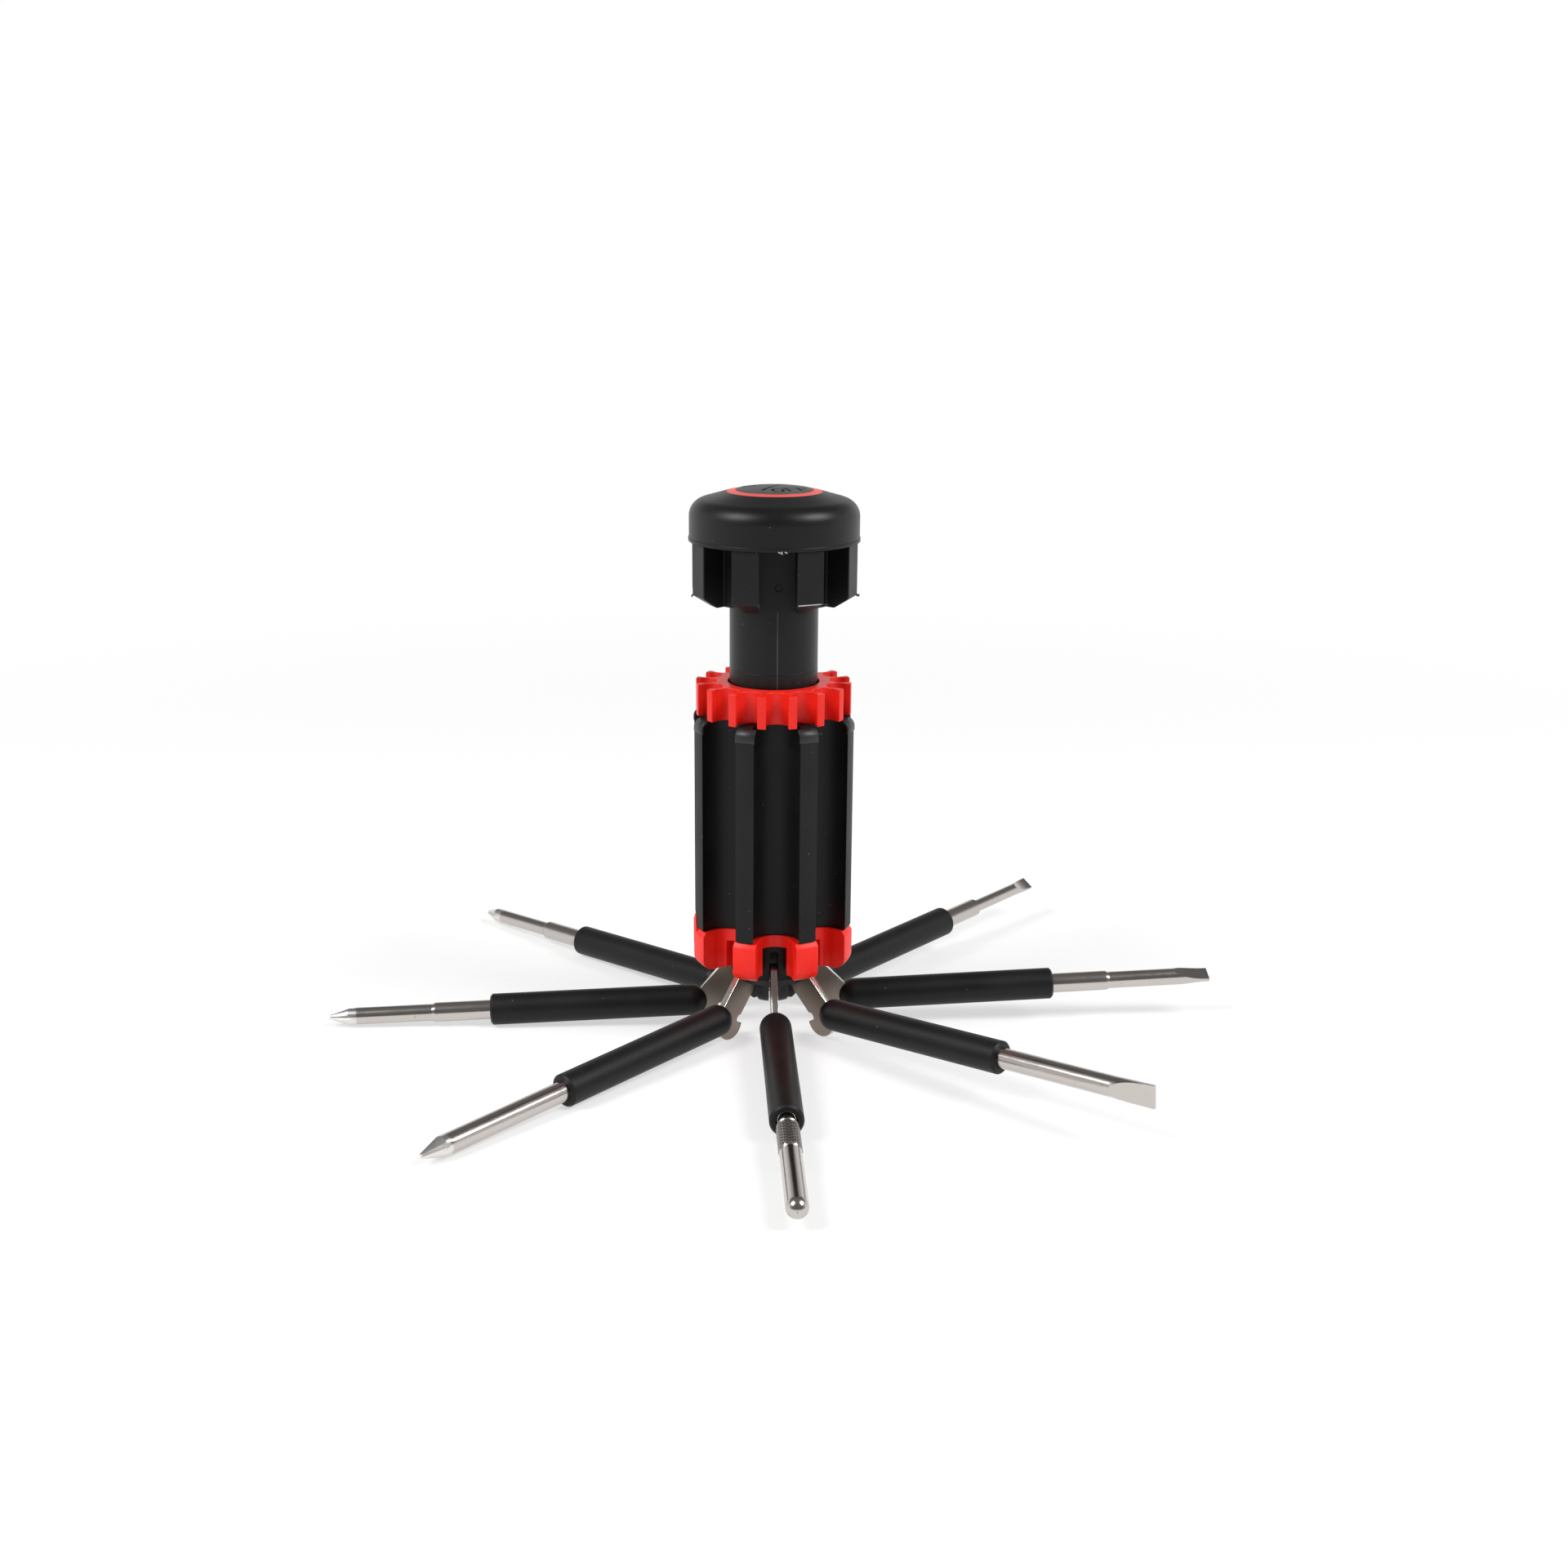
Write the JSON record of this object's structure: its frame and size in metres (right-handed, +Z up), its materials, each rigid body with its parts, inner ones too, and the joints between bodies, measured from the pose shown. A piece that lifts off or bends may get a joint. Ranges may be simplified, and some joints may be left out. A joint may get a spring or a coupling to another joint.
{
  "type": "pocket screwdriver",
  "caption": "Pocket screwdriver with fold-out drivers hinged in a crown at the foot of a ribbed handle and a cap with a pull-out torch tube.",
  "frame": {"origin": "on the ground under the handle's axis, at the centre of the fanned drivers", "axes": "+Z up along the handle towards the cap; the pick-up driver points along -Y"},
  "size_m": [0.2644, 0.2639, 0.1617],
  "materials": {
    "handle_black": "satin moulded plastic",
    "hub_black": "satin moulded plastic",
    "cap_black": "fine satin moulded plastic",
    "tube_black": "satin moulded plastic",
    "button_black": "satin moulded plastic",
    "grip_black": "satin moulded plastic",
    "red_plastic": "glossy moulded plastic",
    "shaft_steel": "bright nickel-plated steel",
    "link_nickel": "satin nickel-plated steel plate",
    "wire_steel": "bright drawn wire",
    "switch_grey": "moulded plastic",
    "carrier_grey": "moulded plastic",
    "cell_case": "plain cell jacket",
    "contact_brass": "plated brass",
    "board_green": "solder mask",
    "lamp_clear": "clear lamp lens",
    "reflector_silver": "metallised plastic",
    "lens_clear": "clear window"
  },
  "bodies": {
    "handle": {"handle_body": "handle_black", "tip_rack": "red_plastic", "hinge_crown": "red_plastic", "thrust_hub": "hub_black", "hinge_wire": "wire_steel"},
    "cap": {"cap_lid": "cap_black", "tip_guard": "cap_black", "battery_tube": "tube_black", "button_bezel": "red_plastic", "push_switch": "switch_grey", "battery_carrier": "carrier_grey", "battery_cells": "cell_case", "contact_plates": "contact_brass", "led_board": "board_green", "led_lamps": "lamp_clear", "reflector": "reflector_silver", "torch_lens": "lens_clear"},
    "button": {"power_button": "button_black"},
    "pickup_driver": {"pickup_link": "link_nickel", "pickup_shaft": "shaft_steel", "pickup_grip": "grip_black"},
    "slot_large_driver": {"slot_large_link": "link_nickel", "slot_large_shaft": "shaft_steel", "slot_large_grip": "grip_black"},
    "slot_medium_driver": {"slot_medium_link": "link_nickel", "slot_medium_shaft": "shaft_steel", "slot_medium_grip": "grip_black"},
    "slot_small_driver": {"slot_small_link": "link_nickel", "slot_small_shaft": "shaft_steel", "slot_small_grip": "grip_black"},
    "slot_fine_driver": {"slot_fine_link": "link_nickel", "slot_fine_shaft": "shaft_steel", "slot_fine_grip": "grip_black"},
    "cross_small_driver": {"cross_small_link": "link_nickel", "cross_small_shaft": "shaft_steel", "cross_small_grip": "grip_black"},
    "cross_medium_driver": {"cross_medium_link": "link_nickel", "cross_medium_shaft": "shaft_steel", "cross_medium_grip": "grip_black"},
    "cross_large_driver": {"cross_large_link": "link_nickel", "cross_large_shaft": "shaft_steel", "cross_large_grip": "grip_black"}
  },
  "joints": [
    {"name": "cap_slide", "type": "slide", "parent": "handle", "child": "cap", "axis": [0, 0, 1], "range_m": [-0.0134, 0.018]},
    {"name": "button_press", "type": "slide", "parent": "cap", "child": "button", "axis": [0, 0, 1], "range_m": [-0.0012, 0], "stiffness_N_per_m": 800},
    {"name": "pickup_hinge", "type": "hinge", "parent": "handle", "child": "pickup_driver", "pos_m": [0, -0.00975, 0.01737], "axis": [1, 0, 0], "range_deg": [-90.91, 29.09]},
    {"name": "slot_large_hinge", "type": "hinge", "parent": "handle", "child": "slot_large_driver", "pos_m": [0.00689, -0.00689, 0.01737], "axis": [-0.7071, -0.7071, 0], "range_deg": [-93.99, 86.01]},
    {"name": "slot_medium_hinge", "type": "hinge", "parent": "handle", "child": "slot_medium_driver", "pos_m": [0.00975, 0, 0.01737], "axis": [0, 1, 0], "range_deg": [-87.51, 32.49]},
    {"name": "slot_small_hinge", "type": "hinge", "parent": "handle", "child": "slot_small_driver", "pos_m": [0.00689, 0.00689, 0.01737], "axis": [-0.7071, 0.7071, 0], "range_deg": [-88.31, 31.69]},
    {"name": "slot_fine_hinge", "type": "hinge", "parent": "handle", "child": "slot_fine_driver", "pos_m": [0, 0.00975, 0.01737], "axis": [-1, 0, 0], "range_deg": [-92.21, 27.79]},
    {"name": "cross_small_hinge", "type": "hinge", "parent": "handle", "child": "cross_small_driver", "pos_m": [-0.00689, 0.00689, 0.01737], "axis": [-0.7071, -0.7071, 0], "range_deg": [-92.21, 27.79]},
    {"name": "cross_medium_hinge", "type": "hinge", "parent": "handle", "child": "cross_medium_driver", "pos_m": [-0.00975, 0, 0.01737], "axis": [0, -1, 0], "range_deg": [-92.21, 27.79]},
    {"name": "cross_large_hinge", "type": "hinge", "parent": "handle", "child": "cross_large_driver", "pos_m": [-0.00689, -0.00689, 0.01737], "axis": [0.7071, -0.7071, 0], "range_deg": [-92.21, 87.79]}
  ]
}
